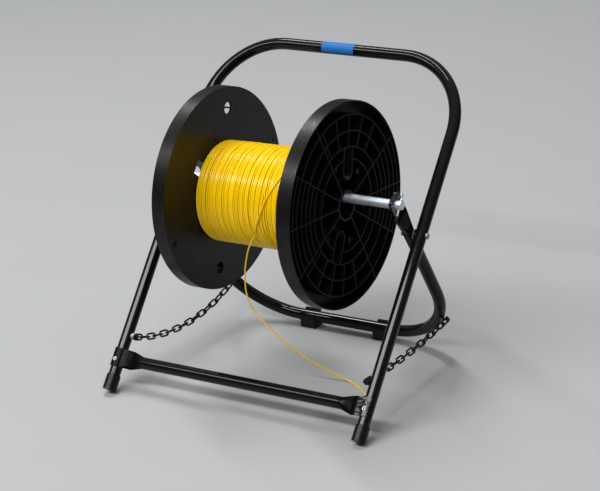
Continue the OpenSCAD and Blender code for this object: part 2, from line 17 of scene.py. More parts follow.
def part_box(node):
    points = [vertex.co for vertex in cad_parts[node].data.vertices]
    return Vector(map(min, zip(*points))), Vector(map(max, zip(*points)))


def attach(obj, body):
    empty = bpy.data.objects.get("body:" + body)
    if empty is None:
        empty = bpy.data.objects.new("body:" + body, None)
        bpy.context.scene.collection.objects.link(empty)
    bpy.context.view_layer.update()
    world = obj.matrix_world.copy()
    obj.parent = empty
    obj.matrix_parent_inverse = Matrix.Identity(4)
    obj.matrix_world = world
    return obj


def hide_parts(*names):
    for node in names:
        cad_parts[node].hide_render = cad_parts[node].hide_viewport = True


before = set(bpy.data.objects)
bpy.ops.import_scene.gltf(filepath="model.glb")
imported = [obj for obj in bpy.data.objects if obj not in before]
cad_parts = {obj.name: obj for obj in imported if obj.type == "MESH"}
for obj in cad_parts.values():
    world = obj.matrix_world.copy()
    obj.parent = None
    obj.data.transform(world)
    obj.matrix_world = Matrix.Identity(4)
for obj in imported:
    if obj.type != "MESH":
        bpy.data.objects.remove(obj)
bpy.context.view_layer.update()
LOG = logging.getLogger("caddy")

Point = tuple[float, float, float]
Colour = tuple[float, float, float]
MM = 0.001
CABLE_D = 3.2 * MM


@dataclass(frozen=True)
class Pattern:
    """A cloudy pattern on a surface.

    Attributes:
        per_metre: Features in a metre.
        detail: Octaves of finer noise.
        low: The noise, from 0 to 1, at which its mask starts.
        high: The noise at which its mask is full.
        stretch: Factors along X, Y and Z; below 1 draws the pattern out.
    """

    per_metre: float
    detail: float = 2.0
    low: float = 0.0
    high: float = 1.0
    stretch: Point = (1.0, 1.0, 1.0)


class Signal:
    """One socket's output in a material, which takes part in Python sums."""

    def __init__(self, sheet: "Sheet", socket: bpy.types.NodeSocket) -> None:
        """Keeps the socket and the sheet that it belongs to.

        Args:
            sheet: The material that the socket is in.
            socket: The output socket.
        """
        self.sheet = sheet
        self.socket = socket

    def _maths(self, operation: str, first: "Value", second: "Value") -> "Signal":
        """Adds one Math node.

        Args:
            operation: The node's operation.
            first: Its first value.
            second: Its second value.

        Returns:
            The result.
        """
        return self.sheet.signal("ShaderNodeMath", {"operation": operation}, {0: first, 1: second})

    def __add__(self, other: "Value") -> "Signal":
        """Signal plus value."""
        return self._maths("ADD", self, other)

    def __radd__(self, other: float) -> "Signal":
        """Number plus signal."""
        return self._maths("ADD", other, self)

    def __sub__(self, other: "Value") -> "Signal":
        """Signal minus value."""
        return self._maths("SUBTRACT", self, other)

    def __rsub__(self, other: float) -> "Signal":
        """Number minus signal."""
        return self._maths("SUBTRACT", other, self)

    def __mul__(self, other: "Value") -> "Signal":
        """Signal times value."""
        return self._maths("MULTIPLY", self, other)

    def __rmul__(self, other: float) -> "Signal":
        """Number times signal."""
        return self._maths("MULTIPLY", other, self)

    def __abs__(self) -> "Signal":
        """Signal without its sign."""
        return self.sheet.signal("ShaderNodeMath", {"operation": "ABSOLUTE"}, {0: self})

    def along(self, axis: str) -> "Signal":
        """Gives a vector's X, Y or Z."""
        return self.sheet.signal("ShaderNodeSeparateXYZ", inputs={0: self}, out=axis)


Value = Signal | float


class Sheet:
    """The node tree of a material or of the world, filled by expressions.

    Attributes:
        bevel_samples: Rays that look for an edge nearby.
        edge_from: How far the rounded normal has to turn for an edge to start, as 1 less their product.
        edge_full: How far it has turned on a full edge.
    """

    bevel_samples: int = 4
    edge_from: float = 0.02
    edge_full: float = 0.3

    def __init__(self, owner: bpy.types.Material | bpy.types.World) -> None:
        """Empties the owner's node tree.

        Args:
            owner: The material or the world.
        """
        self.owner = owner
        owner.use_nodes = True
        self.tree = owner.node_tree
        self.tree.nodes.clear()

    def node(
        self,
        kind: str,
        settings: dict[str, object] | None = None,
        inputs: dict[str | int, object] | None = None,
    ) -> bpy.types.Node:
        """Adds a node.

        Args:
            kind: The node's type.
            settings: Its properties, which are set first.
            inputs: Values or signals for its sockets.

        Returns:
            The node.
        """
        made = self.tree.nodes.new(kind)
        for key, value in (settings or {}).items():
            setattr(made, key, value)
        for key, value in (inputs or {}).items():
            if isinstance(value, Signal):
                self.tree.links.new(value.socket, made.inputs[key])
            else:
                made.inputs[key].default_value = value
        return made

    def signal(
        self,
        kind: str,
        settings: dict[str, object] | None = None,
        inputs: dict[str | int, object] | None = None,
        out: str | int = 0,
    ) -> Signal:
        """Adds a node and gives one of its outputs.

        Args:
            kind: The node's type.
            settings: Its properties.
            inputs: Values or signals for its sockets.
            out: The output's name or number.

        Returns:
            That output.
        """
        return Signal(self, self.node(kind, settings, inputs).outputs[out])

    def place(self, stretch: Point = (1.0, 1.0, 1.0)) -> Signal:
        """Gives the place on the object, in metres.

        Args:
            stretch: Factors along X, Y and Z.

        Returns:
            The place as a vector.
        """
        coordinate = self.signal("ShaderNodeTexCoord", out="Object")
        if stretch == (1.0, 1.0, 1.0):
            return coordinate
        return self.signal("ShaderNodeMapping", inputs={"Vector": coordinate, "Scale": stretch})

    def noise(self, pattern: Pattern) -> Signal:
        """Adds a pattern's cloudy noise.

        Args:
            pattern: The pattern.

        Returns:
            The noise, from 0 to 1.
        """
        place = self.place(pattern.stretch)
        inputs = {"Vector": place, "Scale": pattern.per_metre, "Detail": pattern.detail}
        return self.signal("ShaderNodeTexNoise", inputs=inputs)

    def ramp(self, value: Signal, low: float, high: float) -> Signal:
        """Turns low to high into 0 to 1, smoothly and within those limits.

        Args:
            value: The signal.
            low: What becomes 0.
            high: What becomes 1.

        Returns:
            The new signal.
        """
        settings = {"interpolation_type": "SMOOTHSTEP"}
        inputs = {"Value": value, "From Min": low, "From Max": high}
        return self.signal("ShaderNodeMapRange", settings, inputs)

    def mask(self, pattern: Pattern) -> Signal:
        """Gives the mask of where a pattern shows."""
        return self.ramp(self.noise(pattern), pattern.low, pattern.high)

    def tint(self, share: Value, first: "Colour | Signal", second: "Colour | Signal") -> Signal:
        """Mixes two colours.

        Args:
            share: How much of the second one.
            first: The colour at 0.
            second: The colour at 1.

        Returns:
            The mixed colour.
        """
        ends = [c if isinstance(c, Signal) else (*c, 1.0) for c in (first, second)]
        inputs = {0: share, 6: ends[0], 7: ends[1]}
        return self.signal("ShaderNodeMix", {"data_type": "RGBA"}, inputs, out=2)

    def round_edges(self, radius: float) -> Signal:
        """Gives the normal with edges rounded.

        Args:
            radius: The rounding, in metres.

        Returns:
            The normal.
        """
        return self.signal("ShaderNodeBevel", {"samples": self.bevel_samples}, {"Radius": radius})

    def edges(self, rounded: Signal) -> Signal:
        """Gives a mask of the edges that were rounded.

        Args:
            rounded: The normal from round_edges.

        Returns:
            About 0 on faces and up to 1 on edges.
        """
        true_normal = self.signal("ShaderNodeNewGeometry", out="True Normal")
        settings = {"operation": "DOT_PRODUCT"}
        alike = self.signal("ShaderNodeVectorMath", settings, {0: rounded, 1: true_normal}, out="Value")
        return self.ramp(1.0 - alike, self.edge_from, self.edge_full)

    def bump(self, height: Signal, depth: float, normal: Signal | None = None) -> Signal:
        """Gives a normal with fine relief.

        Args:
            height: The relief from 0 to 1.
            depth: The height of 1, in metres.
            normal: The normal to start from.

        Returns:
            The normal.
        """
        inputs: dict[str | int, object] = {"Height": height, "Distance": depth}
        if normal is not None:
            inputs["Normal"] = normal
        return self.signal("ShaderNodeBump", inputs=inputs)

    def principled(self, **sockets: "Value | Colour") -> Signal:
        """Adds a Principled shader.

        Args:
            sockets: Its inputs, with _ for a space.

        Returns:
            The shader.
        """
        inputs: dict[str | int, object] = {}
        for key, value in sockets.items():
            label = key.replace("_", " ")
            plain_colour = label == "Base Color" and isinstance(value, tuple)
            inputs[label] = (*value, 1.0) if plain_colour else value
        return self.signal("ShaderNodeBsdfPrincipled", inputs=inputs)

    def either(self, share: Signal, first: Signal, second: Signal) -> Signal:
        """Mixes two shaders.

        Args:
            share: How much of the second one.
            first: The shader at 0.
            second: The shader at 1.

        Returns:
            The mixed shader.
        """
        return self.signal("ShaderNodeMixShader", inputs={0: share, 1: first, 2: second})

    def close(self, shader: Signal) -> bpy.types.Material:
        """Closes the sheet with a shader.

        Args:
            shader: The shader.

        Returns:
            The material.
        """
        self.node("ShaderNodeOutputMaterial", inputs={"Surface": shader})
        return self.owner

    def finish(self, **sockets: "Value | Colour") -> bpy.types.Material:
        """Closes the sheet with a Principled shader.

        Args:
            sockets: Its inputs, with _ for a space.

        Returns:
            The material.
        """
        return self.close(self.principled(**sockets))


@dataclass(frozen=True)
class Finish:
    """What every finish has: the name of its material."""

    name: str

    def sheet(self) -> Sheet:
        """Opens the finish's new material."""
        return Sheet(bpy.data.materials.new(self.name))

    def paint(self) -> bpy.types.Material:
        """Makes the material."""
        raise NotImplementedError


@dataclass(frozen=True)
class PowderCoat(Finish):
    """Gloss black paint on steel tube, with faint orange peel, dust and scuffs.

    Attributes:
        gloss: The clean paint's roughness.
        shine: Its specular level.
        scuffs: How strongly scratches and patches show.
        chips_round: The rod round whose ends the paint is chipped off, if there is one.
        chips_reach: How far from that rod's axis the chips go.
    """

    black: Colour = (0.0045, 0.004, 0.004)
    dust: Colour = (0.06, 0.055, 0.052)
    chip: Colour = (0.35, 0.36, 0.38)
    gloss: float = 0.065
    shine: float = 0.22
    scuffs: float = 0.3
    scratch: Pattern = Pattern(900.0, 3.0, 0.63, 0.72, (0.12, 1.0, 1.0))
    patch: Pattern = Pattern(14.0, 3.0, 0.52, 0.7)
    film: Pattern = Pattern(45.0, 4.0, 0.35, 0.8)
    peel: Pattern = Pattern(420.0, 1.0)
    chipped: Pattern = Pattern(260.0, 3.0, 0.57, 0.62)
    film_shows: float = 0.03
    film_dulls: float = 0.02
    worn_dulls: float = 0.12
    peel_depth: float = 0.001 * MM
    edge_r: float = 0.5 * MM
    chips_round: str | None = None
    chips_reach: float = 24.0 * MM

    def chips(self, sheet: Sheet) -> Value:
        """Gives a mask of the paint's chips round the rod's ends.

        Args:
            sheet: The sheet.

        Returns:
            1 where the steel shows.
        """
        if self.chips_round is None:
            return 0.0
        low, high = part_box(self.chips_round)
        middle = (low + high) / 2
        place = sheet.place()
        y = place.along("Y") - middle.y
        z = place.along("Z") - middle.z
        near = 1.0 - sheet.ramp(y * y + z * z, (self.chips_reach / 2) ** 2, self.chips_reach**2)
        return sheet.mask(self.chipped) * near

    def paint(self) -> bpy.types.Material:
        """Makes the material."""
        sheet = self.sheet()
        worn = sheet.mask(self.scratch) * sheet.mask(self.patch) * self.scuffs
        film = sheet.mask(self.film)
        coat = sheet.tint(worn + film * self.film_shows, self.black, self.dust)
        return sheet.finish(
            Base_Color=sheet.tint(self.chips(sheet), coat, self.chip),
            Roughness=self.gloss + worn * self.worn_dulls + film * self.film_dulls,
            Specular_IOR_Level=self.shine,
            Normal=sheet.bump(sheet.noise(self.peel), self.peel_depth, sheet.round_edges(self.edge_r)),
        )


@dataclass(frozen=True)
class PressedPaint(Finish):
    """Black paint over pressed tube ends, rubbed grey along the creases of the right one.

    Attributes:
        shade_side: How much of the right end's rubbing the left end has.
        seam: Half of the stretch at the middle where the two sides meet.
        flares_from: How far from the middle the flares start.
        flares_full: Where they are at their widest.
        pressed_from: Where the pressed ends start.
        pressed_full: Where they are pressed flat.
        flares_gone: Where the flares' finish has given way to the right end's.
        least_rub: The rubbing between the creases.
    """

    black: Colour = (0.0045, 0.004, 0.004)
    rubbed: Colour = (0.24, 0.21, 0.195)
    gloss: float = 0.09
    shine: float = 0.22
    flare_gloss: float = 0.16
    flare_shine: float = 0.012
    shade_side: float = 0.1
    seam: float = 10.0 * MM
    flares_from: float = 235.0 * MM
    flares_full: float = 260.0 * MM
    pressed_from: float = 280.0 * MM
    pressed_full: float = 290.0 * MM
    flares_gone: float = 288.0 * MM
    crease: Pattern = Pattern(190.0, 3.0, 0.5, 0.58, (0.16, 1.0, 1.0))
    mottle: Pattern = Pattern(260.0, 3.0, 0.25, 0.6)
    dents: Pattern = Pattern(45.0, 1.0)
    least_rub: float = 0.08
    rub_dulls: float = 0.4
    crease_depth: float = 0.5 * MM
    dent_depth: float = 1.0 * MM
    edge_r: float = 0.5 * MM

    def paint(self) -> bpy.types.Material:
        """Makes the material."""
        sheet = self.sheet()
        low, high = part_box("front_crossbar")
        across = sheet.place().along("X") - (low.x + high.x) / 2
        beside = abs(across)
        side = self.shade_side + (1.0 - self.shade_side) * sheet.ramp(across, -self.seam, self.seam)
        on_ends = sheet.ramp(beside, self.pressed_from, self.pressed_full) * side
        off_flares = sheet.ramp(beside, self.pressed_from, self.flares_gone) * side
        on_flares = sheet.ramp(beside, self.flares_from, self.flares_full) * (1.0 - off_flares)
        crease = sheet.mask(self.crease)
        rub = (self.least_rub + crease * (1.0 - self.least_rub)) * sheet.mask(self.mottle) * on_ends
        rounded = sheet.round_edges(self.edge_r)
        glossy = sheet.principled(
            Base_Color=sheet.tint(rub, self.black, self.rubbed),
            Roughness=self.gloss + rub * self.rub_dulls,
            Specular_IOR_Level=self.shine,
            Normal=sheet.bump(crease * on_ends, self.crease_depth, rounded),
        )
        deep = sheet.principled(
            Base_Color=self.black,
            Roughness=self.flare_gloss,
            Specular_IOR_Level=self.flare_shine,
            Normal=sheet.bump(sheet.noise(self.dents) * on_flares, self.dent_depth, rounded),
        )
        return sheet.close(sheet.either(on_flares, glossy, deep))


@dataclass(frozen=True)
class Zinc(Finish):
    """Zinc on steel, mottled, with fine drawn lines and dull patches; a piece right of the middle can take
    painted shade.

    Attributes:
        polish: The bright zinc's roughness.
        cloud_shows: How much of the dull colour the patches take.
        right_painted_shade: A dark colour painted as painted shade on what stands right of the middle, if
            there is one.
        seam: Half of the stretch at the middle where the two colours meet.
    """

    bright: Colour = (0.70, 0.75, 0.80)
    dull: Colour = (0.42, 0.46, 0.50)
    polish: float = 0.24
    cloud: Pattern = Pattern(70.0, 4.0, 0.35, 0.75, (0.5, 1.0, 1.0))
    drawn: Pattern = Pattern(2400.0, 2.0, stretch=(0.06, 1.0, 1.0))
    cloud_shows: float = 0.7
    cloud_dulls: float = 0.14
    drawn_dulls: float = 0.1
    drawn_depth: float = 0.012 * MM
    edge_r: float = 0.35 * MM
    right_painted_shade: Colour | None = None
    seam: float = 10.0 * MM

    def paint(self) -> bpy.types.Material:
        """Makes the material."""
        sheet = self.sheet()
        cloud = sheet.mask(self.cloud)
        drawn = sheet.noise(self.drawn)
        tone = sheet.tint(cloud * self.cloud_shows, self.bright, self.dull)
        # Painted shade: what stands right of the middle is painted dark, as if it stood in shade.
        if self.right_painted_shade is not None:
            right_shade_mask = sheet.ramp(sheet.place().along("X"), -self.seam, self.seam)
            tone = sheet.tint(right_shade_mask, tone, self.right_painted_shade)
        return sheet.finish(
            Base_Color=tone,
            Metallic=1.0,
            Roughness=self.polish + cloud * self.cloud_dulls + drawn * self.drawn_dulls,
            Normal=sheet.bump(drawn, self.drawn_depth, sheet.round_edges(self.edge_r)),
        )


@dataclass(frozen=True)
class RivetZinc(Zinc):
    """Bright zinc with a dark disc at the middle: the broken pin's dark steel, and painted shade in its
    hole.

    Attributes:
        core_r: The radius of the painted dark disc, a little wider than the hole.
        core_blur: How soft its edge is, as a share of its radius.
        lean: How far the legs lean back, in degrees.
        beside: How far to the side of the middle a rivet stands.
        along: A rivet's place along the legs' slope.
    """

    bright: Colour = (0.75, 0.76, 0.78)
    dull: Colour = (0.5, 0.52, 0.54)
    pin_and_shade_black: Colour = (0.004, 0.004, 0.004)
    polish: float = 0.45
    cloud: Pattern = Pattern(300.0, 3.0, 0.35, 0.75)
    cloud_shows: float = 0.5
    cloud_dulls: float = 0.1
    core_dulls: float = 0.3
    cloud_depth: float = 0.02 * MM
    core_r: float = 2.2 * MM
    core_blur: float = 0.1
    lean: float = 42.0
    beside: float = 307.3 * MM
    along: float = -111.7 * MM

    def paint(self) -> bpy.types.Material:
        """Makes the material."""
        sheet = self.sheet()
        place = sheet.place()
        lean = math.radians(self.lean)
        x = abs(place.along("X")) - self.beside
        slope = place.along("Y") * math.sin(lean) + place.along("Z") * math.cos(lean) - self.along
        # Painted shade: a near-black disc over the hole stands for the broken pin and the shade inside the
        # hole.
        inner, outer = (self.core_r * (1.0 + blur) for blur in (-self.core_blur, self.core_blur))
        pin_and_hole_shade = 1.0 - sheet.ramp(x * x + slope * slope, inner**2, outer**2)
        cloud = sheet.mask(self.cloud)
        tone = sheet.tint(cloud * self.cloud_shows, self.bright, self.dull)
        return sheet.finish(
            Base_Color=sheet.tint(pin_and_hole_shade, tone, self.pin_and_shade_black),
            Metallic=1.0 - pin_and_hole_shade,
            Roughness=self.polish + cloud * self.cloud_dulls + pin_and_hole_shade * self.core_dulls,
            Normal=sheet.bump(cloud, self.cloud_depth, sheet.round_edges(self.edge_r)),
        )


@dataclass(frozen=True)
class MouldedPlastic(Finish):
    """Black moulded plastic with a satin shine, fine upright scratches and rubbed edges, and a deeper black
    on the flanges' ribbed outer faces.

    Attributes:
        sheen: The plastic's roughness.
        shine: Its specular level.
        edge_shows: How pale the rubbed edges are.
        ribs_shine: The specular level among a flange's ribs, if the piece has them.
        ribs_black: The plastic's colour there, as a share of black.
        ribs_edges: The edges' paleness there, as a share of edge_shows.
        ribs_flow: How much of the flow marks shows there.
        ribs_from: How far outside a flange's inner face that stretch starts.
        ribs_full: How far outside it is complete.
        facing_from: The sideways part of a face's normal at which the face starts to count as an outer one.
        facing_full: The part at which it does so fully.
    """

    black: Colour = (0.0036, 0.0033, 0.0036)
    pale: Colour = (0.07, 0.067, 0.07)
    sheen: float = 0.34
    shine: float = 0.22
    flow: Pattern = Pattern(9.0, 5.0, 0.4, 0.75, (1.0, 1.6, 0.6))
    scratch: Pattern = Pattern(150.0, 4.0, 0.54, 0.7, (1.0, 1.0, 0.08))
    grain: Pattern = Pattern(1500.0, 2.0)
    edge_shows: float = 0.08
    scratch_shows: float = 0.09
    flow_shows: float = 0.05
    flow_dulls: float = 0.08
    scratch_shines: float = 0.1
    grain_depth: float = 0.01 * MM
    edge_r: float = 0.5 * MM
    ribs_shine: float | None = None
    ribs_black: float = 0.4
    ribs_edges: float = 0.5
    ribs_flow: float = 0.01
    ribs_from: float = 1.0 * MM
    ribs_full: float = 3.0 * MM
    facing_from: float = 0.5
    facing_full: float = 0.9

    def ribbed(self, sheet: Sheet) -> Signal:
        """Gives a mask of the flanges' ribbed outer faces, which are painted a deeper black than the rest.

        Args:
            sheet: The sheet.

        Returns:
            1 on those faces and 0 on the winding's side and round the rims.
        """
        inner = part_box("right_flange")[0].x
        away = abs(sheet.place().along("X"))
        facing = abs(sheet.signal("ShaderNodeTexCoord", out="Normal").along("X"))
        outside = sheet.ramp(away, inner + self.ribs_from, inner + self.ribs_full)
        return outside * sheet.ramp(facing, self.facing_from, self.facing_full)

    def paint(self) -> bpy.types.Material:
        """Makes the material."""
        sheet = self.sheet()
        flow = sheet.mask(self.flow)
        scratch = sheet.mask(self.scratch)
        rounded = sheet.round_edges(self.edge_r)
        rubbed = sheet.edges(rounded) * self.edge_shows
        normal = sheet.bump(sheet.noise(self.grain), self.grain_depth, rounded)
        roughness = self.sheen + flow * self.flow_dulls - scratch * self.scratch_shines
        marks = rubbed + scratch * self.scratch_shows + flow * self.flow_shows
        worn = sheet.principled(
            Base_Color=sheet.tint(marks, self.black, self.pale),
            Roughness=roughness,
            Specular_IOR_Level=self.shine,
            Normal=normal,
        )
        if self.ribs_shine is None:
            return sheet.close(worn)
        # The ribbed outer faces are painted a deeper black, with fewer marks and less shine.
        deep = tuple(c * self.ribs_black for c in self.black)
        deeper_ribbed_faces = sheet.principled(
            Base_Color=sheet.tint(rubbed * self.ribs_edges + flow * self.ribs_flow, deep, self.pale),
            Roughness=roughness,
            Specular_IOR_Level=self.ribs_shine,
            Normal=normal,
        )
        return sheet.close(sheet.either(self.ribbed(sheet), worn, deeper_ribbed_faces))


@dataclass(frozen=True)
class CableJacket(Finish):
    """Satin yellow jacket, a little uneven in colour, with specks of dirt."""

    yellow: Colour = (1.0, 0.66, 0.0)
    deep: Colour = (0.97, 0.5, 0.0)
    dirt: Colour = (0.30, 0.17, 0.01)
    gloss: float = 0.2
    shine: float = 0.4
    cloud: Pattern = Pattern(60.0, 3.0, 0.4, 0.85, (3.0, 1.0, 1.0))
    speck: Pattern = Pattern(420.0, 2.0, 0.68, 0.76)
    grain: Pattern = Pattern(900.0, 2.0)
    cloud_shows: float = 0.4
    cloud_dulls: float = 0.08
    speck_shows: float = 0.35
    grain_depth: float = 0.005 * MM

    def paint(self) -> bpy.types.Material:
        """Makes the material."""
        sheet = self.sheet()
        cloud = sheet.mask(self.cloud)
        tone = sheet.tint(cloud * self.cloud_shows, self.yellow, self.deep)
        return sheet.finish(
            Base_Color=sheet.tint(sheet.mask(self.speck) * self.speck_shows, tone, self.dirt),
            Roughness=self.gloss + cloud * self.cloud_dulls,
            Specular_IOR_Level=self.shine,
            Normal=sheet.bump(sheet.noise(self.grain), self.grain_depth),
        )


@dataclass(frozen=True)
class Rubber(Finish):
    """Black rubber, half worn to a shine, with dust in its grain."""

    black: Colour = (0.006, 0.006, 0.0063)
    dust: Colour = (0.06, 0.058, 0.056)
    gloss: float = 0.26
    shine: float = 0.17
    dusty: Pattern = Pattern(180.0, 4.0, 0.45, 0.8)
    grain: Pattern = Pattern(1300.0, 3.0)
    dust_shows: float = 0.15
    dust_dulls: float = 0.05
    grain_depth: float = 0.001 * MM
    edge_r: float = 0.6 * MM

    def paint(self) -> bpy.types.Material:
        """Makes the material."""
        sheet = self.sheet()
        dusty = sheet.mask(self.dusty)
        return sheet.finish(
            Base_Color=sheet.tint(dusty * self.dust_shows, self.black, self.dust),
            Roughness=self.gloss + dusty * self.dust_dulls,
            Specular_IOR_Level=self.shine,
            Normal=sheet.bump(sheet.noise(self.grain), self.grain_depth, sheet.round_edges(self.edge_r)),
        )


@dataclass(frozen=True)
class LabelFilm(Finish):
    """A plain blue film label, slightly faded in places."""

    blue: Colour = (0.01, 0.14, 0.44)
    faded: Colour = (0.03, 0.2, 0.52)
    gloss: float = 0.4
    shine: float = 0.2
    fade: Pattern = Pattern(120.0, 4.0, 0.4, 0.8)
    grain: Pattern = Pattern(300.0, 2.0)
    fade_shows: float = 0.4
    fade_dulls: float = 0.15
    grain_depth: float = 0.03 * MM

    def paint(self) -> bpy.types.Material:
        """Makes the material."""
        sheet = self.sheet()
        fade = sheet.mask(self.fade)
        return sheet.finish(
            Base_Color=sheet.tint(fade * self.fade_shows, self.blue, self.faded),
            Roughness=self.gloss + fade * self.fade_dulls,
            Specular_IOR_Level=self.shine,
            Normal=sheet.bump(sheet.noise(self.grain), self.grain_depth),
        )


@dataclass(frozen=True)
class FloorPaint(Finish):
    """The studio's plain pale floor, which is a little lighter in places."""

    pale: Colour = (0.40, 0.407, 0.413)
    lighter: float = 1.05
    cloud: Pattern = Pattern(3.0, 3.0)
    roughness: float = 0.9

    def paint(self) -> bpy.types.Material:
        """Makes the material."""
        sheet = self.sheet()
        light = tuple(c * self.lighter for c in self.pale)
        tone = sheet.tint(sheet.noise(self.cloud), self.pale, light)
        return sheet.finish(Base_Color=tone, Roughness=self.roughness)


class Look(Enum):
    """The finishes that the caddy's pieces wear."""

    FRAME = PowderCoat("frame_paint")
    ARMS = PowderCoat("arm_paint", chips_round="axle_rod")
    CHAIN = PowderCoat("chain_black", gloss=0.25, scuffs=0.4)
    CROSSBAR = PressedPaint("crossbar_paint")
    RIVETS = RivetZinc("rivet_zinc")
    BOLTS = Zinc("bolt_zinc")
    # The right chain nut is painted dark: painted shade, as it stands in shade behind the right leg.
    CHAIN_NUTS = Zinc("chain_nut_zinc_and_painted_shade", right_painted_shade=(0.03, 0.03, 0.032))
    PIVOTS = Zinc("pivot_rust", bright=(0.42, 0.33, 0.27), dull=(0.17, 0.11, 0.08), polish=0.4)
    TIES = Zinc("tie_black", bright=(0.10, 0.09, 0.09), dull=(0.04, 0.04, 0.042), polish=0.3)
    AXLE = Zinc("axle_zinc", bright=(0.76, 0.82, 0.88), dull=(0.56, 0.62, 0.68), polish=0.4)
    BOOTS = Rubber("boot_rubber")
    LABEL = LabelFilm("label_film")
    FEET = MouldedPlastic("foot_plastic")
    REEL = MouldedPlastic("flange_plastic", ribs_shine=0.09)
    CABLE = CableJacket("cable_jacket")


@cache
def painted(finish: Finish) -> bpy.types.Material:
    """Gives a finish's material, painted at its first use."""
    return finish.paint()


def mesh_object(
    name: str, points: Sequence[Sequence[float]], faces: Sequence[Sequence[int]], smooth: bool
) -> bpy.types.Object:
    """Makes a mesh object in the scene.

    Args:
        name: The object's name.
        points: Its vertices.
        faces: Its faces, as numbers of vertices.
        smooth: Whether it is shaded smooth.

    Returns:
        The object.
    """
    mesh = bpy.data.meshes.new(name)
    mesh.from_pydata([tuple(p) for p in points], [], [tuple(f) for f in faces])
    mesh.polygons.foreach_set("use_smooth", [smooth] * len(mesh.polygons))
    mesh.update()
    made = bpy.data.objects.new(name, mesh)
    bpy.context.scene.collection.objects.link(made)
    return made


@dataclass(frozen=True)
class SoftLamp:
    """A wide lamp that hangs over the studio.

    Attributes:
        name: Its name.
        place: Its centre.
        aim: What it points at.
        size: Its length and width.
        watts: Its power.
    """

    name: str
    place: Point
    aim: Point
    size: tuple[float, float]
    watts: float

    def hang(self) -> None:
        """Hangs the lamp."""
        data = bpy.data.lights.new(self.name, "AREA")
        data.shape = "RECTANGLE"
        data.size, data.size_y = self.size
        data.energy = self.watts
        made = bpy.data.objects.new(self.name, data)
        bpy.context.scene.collection.objects.link(made)
        made.location = self.place
        made.rotation_euler = (Vector(self.aim) - Vector(self.place)).to_track_quat("-Z", "Y").to_euler()


@dataclass
class Studio:
    """Camera, floor and lamps.

    Attributes:
        camera_heading: The way that the camera looks, in degrees left of +Y.
        camera_down: How far it looks down, in degrees.
        camera_roll: How far it is rolled, in degrees.
        camera_lens: Its focal length and sensor_w its sensor's width, both in millimetres.
        camera_reach: How far it sees.
        sky_from: The upward part of a direction where the sky starts to brighten.
        sky_to: The part where it is brightest.
    """

    camera_place: Point = (2.3879, -3.4225, 1.9400)
    camera_heading: float = 34.635
    camera_down: float = 21.766
    camera_roll: float = -5.437
    camera_lens: float = 129.43
    camera_reach: float = 100.0
    sensor_w: float = 36.0
    floor_side: float = 40.0
    sky: Colour = (0.95, 0.97, 1.0)
    sky_low: float = 0.1
    sky_high: float = 0.5
    sky_from: float = 0.1
    sky_to: float = 0.95
    lamps: tuple[SoftLamp, ...] = (
        SoftLamp("key_lamp", (-1.6, 1.0, 5.2), (0.0, 0.0, 0.3), (0.4, 4.0), 155.0),
        SoftLamp("front_lamp", (-1.0, -3.5, 4.7), (-1.0, 0.0, 0.4), (6.4, 0.8), 265.0),
    )

    def camera(self) -> None:
        """Sets the camera at the photograph's place and angle."""
        data = bpy.data.cameras.new("camera")
        data.sensor_width = self.sensor_w
        data.lens = self.camera_lens
        data.clip_end = self.camera_reach
        made = bpy.data.objects.new("camera", data)
        bpy.context.scene.collection.objects.link(made)
        heading = Euler((0, 0, math.radians(self.camera_heading))).to_matrix()
        tilt = Euler((math.radians(90 - self.camera_down), 0, 0)).to_matrix()
        roll = Euler((0, 0, math.radians(self.camera_roll))).to_matrix()
        made.matrix_world = (heading @ tilt @ roll).to_4x4()
        made.location = self.camera_place
        bpy.context.scene.camera = made

    def floor(self) -> None:
        """Lays the floor under the feet."""
        half = self.floor_side / 2
        corners = [(-half, -half, 0.0), (half, -half, 0.0), (half, half, 0.0), (-half, half, 0.0)]
        made = mesh_object("studio_floor", corners, [(0, 1, 2, 3)], smooth=False)
        made.data.materials.append(painted(FloorPaint("studio_floor")))

    def world(self) -> None:
        """Lights the scene from all round, more from above than from the sides."""
        made = bpy.data.worlds.new("studio_world")
        sheet = Sheet(made)
        upward = sheet.signal("ShaderNodeTexCoord", out="Generated").along("Z")
        brighter = sheet.ramp(upward, self.sky_from, self.sky_to)
        strength = self.sky_low + (self.sky_high - self.sky_low) * brighter
        inputs = {"Color": (*self.sky, 1.0), "Strength": strength}
        light = sheet.signal("ShaderNodeBackground", inputs=inputs)
        sheet.node("ShaderNodeOutputWorld", inputs={"Surface": light})
        bpy.context.scene.world = made

    def build(self) -> None:
        """Sets up everything that isn't part of the caddy."""
        bpy.context.scene.view_settings.view_transform = "Standard"
        self.camera()
        self.floor()
        self.world()
        for lamp in self.lamps:
            lamp.hang()
            LOG.info("Studio: %s", lamp.name)


def spline_points(route: Sequence[Sequence[float]], steps: int) -> list[Vector]:
    """Draws a smooth curve through points.

    Args:
        route: The points.
        steps: Points from one to the next.

    Returns:
        The curve's points.
    """
    given = [Vector(p) for p in route]
    line: list[Vector] = []
    for i in range(len(given) - 1):
        a, b = given[max(i - 1, 0)], given[i]
        c, d = given[i + 1], given[min(i + 2, len(given) - 1)]
        for j in range(steps):
            t = j / steps
            straight = 2 * b + (c - a) * t
            bent = (2 * a - 5 * b + 4 * c - d) * t**2 + (3 * b - a - 3 * c + d) * t**3
            line.append(0.5 * (straight + bent))
    return line + [given[-1]]


